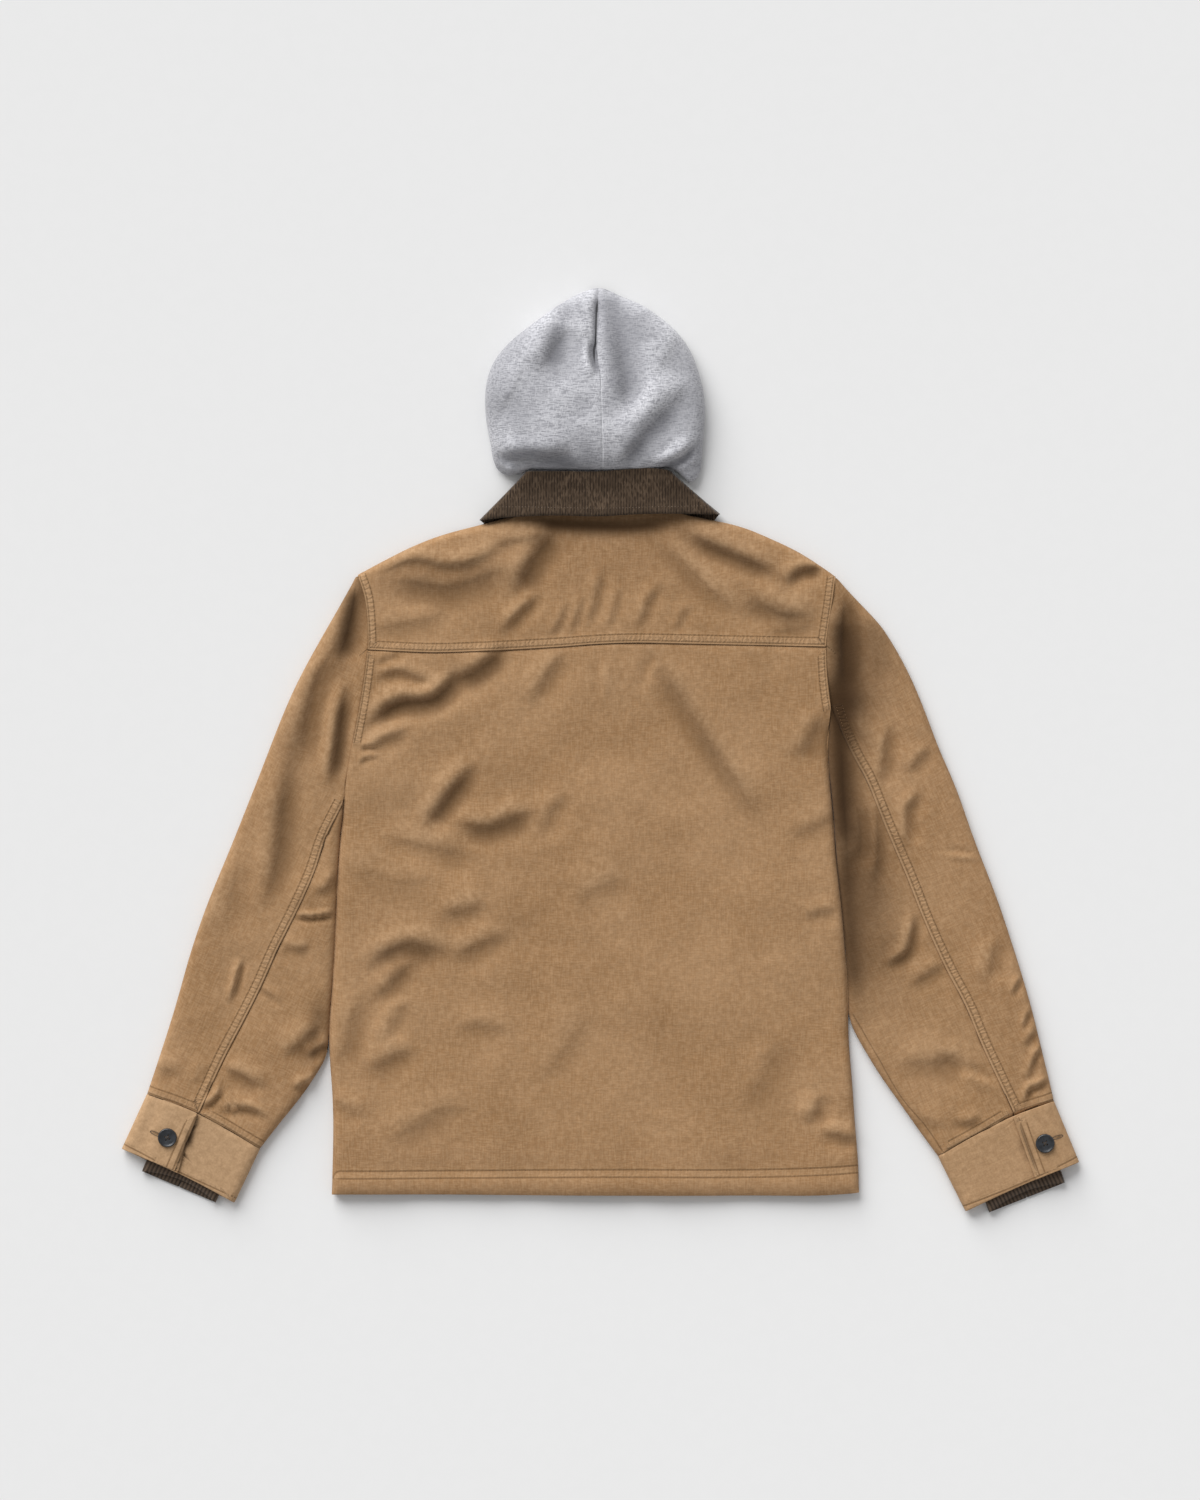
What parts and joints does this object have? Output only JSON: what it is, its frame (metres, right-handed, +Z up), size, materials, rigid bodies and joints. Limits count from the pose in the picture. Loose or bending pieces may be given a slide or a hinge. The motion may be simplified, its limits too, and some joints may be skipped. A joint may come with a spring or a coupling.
{
  "type": "hooded jacket",
  "caption": "Canvas work jacket with a fleece hood, corduroy collar, yoke, buttoned cuffs and knitted inner cuffs, laid flat on its front with its back up.",
  "frame": {"origin": "middle of the laid jacket's outline, on the surface that it lies on", "axes": "+X to the right as the back is seen, +Y up the back to the hood, +Z up from the surface"},
  "size_m": [1.005, 0.97, 0.0422],
  "materials": {
    "canvas": "matt plain-woven cotton, worn paler along its seams",
    "corduroy": "soft cut-pile ribs",
    "fleece": "brushed, heathered",
    "rib_knit": "ribbed knit",
    "button": "polished",
    "zip_metal": "dulled"
  },
  "bodies": {
    "root": {"back_panel": "canvas", "back_yoke": "canvas", "front_left": "canvas", "front_right": "canvas", "sleeve_left_outer": "canvas", "sleeve_left_under": "canvas", "sleeve_right_outer": "canvas", "sleeve_right_under": "canvas", "cuff_left": "canvas", "cuff_right": "canvas", "rib_cuff_left": "rib_knit", "rib_cuff_right": "rib_knit", "button_left": "button", "button_right": "button", "collar": "corduroy", "hood_left": "fleece", "hood_right": "fleece", "zip_chain": "zip_metal", "zip_slider": "zip_metal"}
  },
  "joints": []
}
